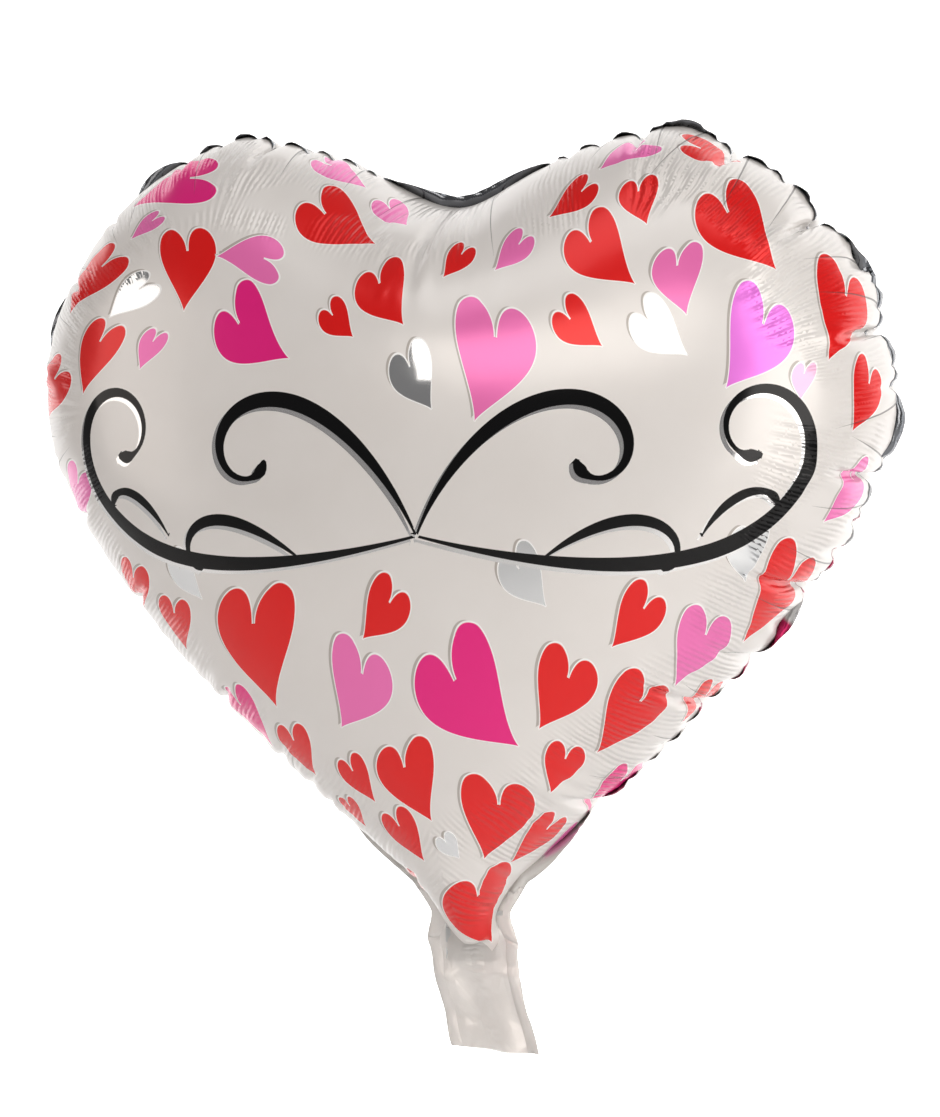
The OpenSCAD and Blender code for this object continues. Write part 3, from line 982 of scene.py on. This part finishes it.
flatCorners = cut["flat"][cut["faces"]]
faceHeight = flatCorners[..., 1].mean(1)
weldRun = np.r_[0, np.cumsum(np.linalg.norm(np.diff(cut["weld"], axis=0), axis=1))]
nearest = nearestWeld(cut, flatCorners.mean(1))
weldWay = np.roll(cut["weld"], -1, 0) - np.roll(cut["weld"], 1, 0)
weldWay /= np.linalg.norm(weldWay, axis=1)[:, None]
fromWeld = flatCorners - cut["weld"][nearest][:, None]
runAlong = weldRun[nearest][:, None] + (fromWeld * weldWay[nearest][:, None]).sum(2)
fromRim = np.stack([runAlong, np.linalg.norm(fromWeld, axis=2), 0 * runAlong], 2)
onCut = np.stack([flatCorners[..., 0], flatCorners[..., 1], 0 * runAlong], 2)

creaseRows = creaseLines(cut["weld"], weldRun, weldWay)
report(f"{len(creaseRows) // creaseSetup['samples']} creases")

filmMaterial = makeFilm()
rimMaterial = makeRimFoil()
zones = {
    "body": faceHeight > heartCut["panelEnd"],
    "neck": (faceHeight <= heartCut["panelEnd"]) & (faceHeight > heartCut["tailTop"]),
    "tail": faceHeight <= heartCut["tailTop"],
}
pieces = {}
for film, number, mirror in (("front", 0, 1), ("back", 1, -1)):
    ofFilm = cut["part"] == number
    normals = pointNormals(shape, cut["faces"][ofFilm])
    for zone, inZone in zones.items():
        take = ofFilm & inZone
        corners = flatCorners[take] * (mirror, 1)    # each film reads the same from outside
        attributes = {
            "onCut": onCut[take], "fromRim": fromRim[take], **printOn(corners),
            "crease": strokePlace(flatCorners[take], creaseRows),
        }
        pieces[zone, film] = makePiece(
            f"{film}_{zone}_foil", shape, cut["faces"][take], attributes, filmMaterial, normals)
    report(f"{film} film printed")

# where ink of the back film's print ran over the rim
strayInk = {"right": 100, "height": (75, 190), "pitch": 26, "least": -0.2}
for zone, inZone in zones.items():
    take = (cut["part"] == 2) & inZone
    corners = flatCorners[take]
    bottom, top = strayInk["height"]
    low = (corners[..., 0] > strayInk["right"]) & (corners[..., 1] > bottom) & (corners[..., 1] < top)
    stray = low * (np.sin(runAlong[take] * 2 * np.pi / strayInk["pitch"]) > strayInk["least"])
    if zone == "body":
        attributes = {
            "onCut": onCut[take], "fromRim": fromRim[take], "strayInk": stray.astype(float),
        }
    else:
        attributes = {"onCut": onCut[take], "fromRim": fromRim[take], **printOn(corners)}
    pieces[zone, "rim"] = makePiece(
        "rim_foil" if zone == "body" else f"{zone}_side_seals", shape, cut["faces"][take],
        attributes, rimMaterial if zone == "body" else filmMaterial)
    # the two fused films, drawn 0.15 mm thick
    thickness = pieces[zone, "rim"].modifiers.new("thickness", "SOLIDIFY")
    thickness.thickness = 0.00015
    thickness.offset = 0
report("rim made")

# what each piece replaces; the body's pieces ride on the envelope
replaced = {
    ("body", "front"): ["front_panel"],
    ("body", "back"): ["back_panel"],
    ("body", "rim"): ["rim_seal"],
    ("neck", "front"): ["neck_front_film"],
    ("neck", "back"): ["neck_back_film"],
    ("neck", "rim"): ["neck_left_seal", "neck_right_seal"],
    ("tail", "front"): ["tail_front_film"],
    ("tail", "back"): ["tail_back_film"],
    ("tail", "rim"): ["tail_left_seal", "tail_right_seal"],
}
for (zone, film), nodes in replaced.items():
    piece = pieces[zone, film]
    if zone == "body":
        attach(piece, "envelope")
    elif zone == "neck":
        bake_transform(piece)
    else:
        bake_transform(piece)
    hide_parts(*nodes)

# the CAD's own valve and bonds keep their shapes
valveMaterial, bondMaterial = makeValveFilm(), makeBond()
for name, material in (
    ("valve_throat", bondMaterial), ("inlet_front_bond", bondMaterial),
    ("inlet_back_bond", bondMaterial), ("valve_front_film", valveMaterial),
    ("valve_back_film", valveMaterial), ("inlet_front_film", valveMaterial),
    ("inlet_back_film", valveMaterial),
):
    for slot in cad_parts[name].material_slots:
        slot.material = material
report("pieces ride on their bodies")

stageSetup = {
    "floor": -0.42,
    "front": -2.6,
    "turn": 1.1,            # where the floor starts to curve up
    "radius": 0.6,
    "top": 2.6,
    "halfWidth": 3.2,
}


def makeBackdrop():
    # a profile carried along X: flat floor, quarter circle, wall
    s = stageSetup
    angle = np.linspace(0, np.pi / 2, 24)
    profile = np.vstack([
        [(s["front"], s["floor"])],
        np.c_[s["turn"] + s["radius"] * np.sin(angle),
              s["floor"] + s["radius"] * (1 - np.cos(angle))],
        [(s["turn"] + s["radius"], s["top"])],
    ])
    count = len(profile)
    points = np.vstack([
        np.c_[np.full(count, x), profile] for x in (-s["halfWidth"], s["halfWidth"])
    ])
    low = np.arange(count - 1)
    mesh = bpy.data.meshes.new("backdrop")
    mesh.from_pydata(points.tolist(), [], np.c_[low, low + count, low + count + 1, low + 1].tolist())
    mesh.polygons.foreach_set("use_smooth", np.ones(count - 1, bool))
    material, tree = newMaterial("whitePaper")
    grain = addNode(tree, "TexNoise", {"Vector": addNode(tree, "TexCoord", {}, out=3),
                                       "Scale": 400.0})
    tone = addNode(tree, "Mix", {0: grain, 6: (*linear("#F7F7F7"), 1),
                                 7: (*linear("#FAFAFA"), 1)}, out=2, data_type="RGBA")
    # only what rises behind the balloon is lit up, and the floor stays plain paper
    height = tree.nodes.new("ShaderNodeSeparateXYZ")
    tree.links.new(addNode(tree, "TexCoord", {}, out=3), height.inputs[0])
    glow = addNode(tree, "MapRange", {0: height.outputs[1], 1: s["turn"] - 0.25, 2: s["turn"] + 0.1,
                                      3: 0.0, 4: 0.97}, interpolation_type="SMOOTHSTEP")
    finishMaterial(tree, {"Base Color": tone, "Roughness": 0.9,
                          "Emission Color": (1, 1, 1, 1), "Emission Strength": glow})
    mesh.materials.append(material)
    backdrop = bpy.data.objects.new("backdrop", mesh)
    bpy.context.collection.objects.link(backdrop)


# name, place, width and height, watts, colour
lights = [
    ("rightSoftbox", (1.25, -0.6, 0.4), (0.8, 1.2), 8.5, "#FFFAF4"),
    ("topSoftbox", (0.2, -0.35, 1.5), (1.3, 0.6), 3.2, "#FFFFFF"),
    ("leftSoftbox", (-1.45, -0.6, 0.5), (0.8, 1.3), 4.0, "#FFF6EE"),
    ("frontSoftbox", (0.3, -2.1, 1.4), (1.8, 0.9), 14, "#FFF9F2"),
]


def addLight(name, place, size, power, colour, aim=(0, 0, 0.17)):
    data = bpy.data.lights.new(name, "AREA")
    data.shape = "RECTANGLE"
    data.size, data.size_y = size
    data.energy = power
    data.color = linear(colour)
    light = bpy.data.objects.new(name, data)
    light.location = place
    light.rotation_euler = (Vector(aim) - Vector(place)).to_track_quat("-Z", "Y").to_euler()
    bpy.context.collection.objects.link(light)


makeBackdrop()
for name, place, size, power, colour in lights:
    addLight(name, place, size, power, colour)
world = bpy.data.worlds.new("studio")
world.use_nodes = True
world.node_tree.nodes["Background"].inputs["Color"].default_value = (*linear("#8E8C8B"), 1)
world.node_tree.nodes["Background"].inputs["Strength"].default_value = 0.8
bpy.context.scene.world = world
bpy.context.scene.view_settings.view_transform = "Standard"
report("stage and lights")
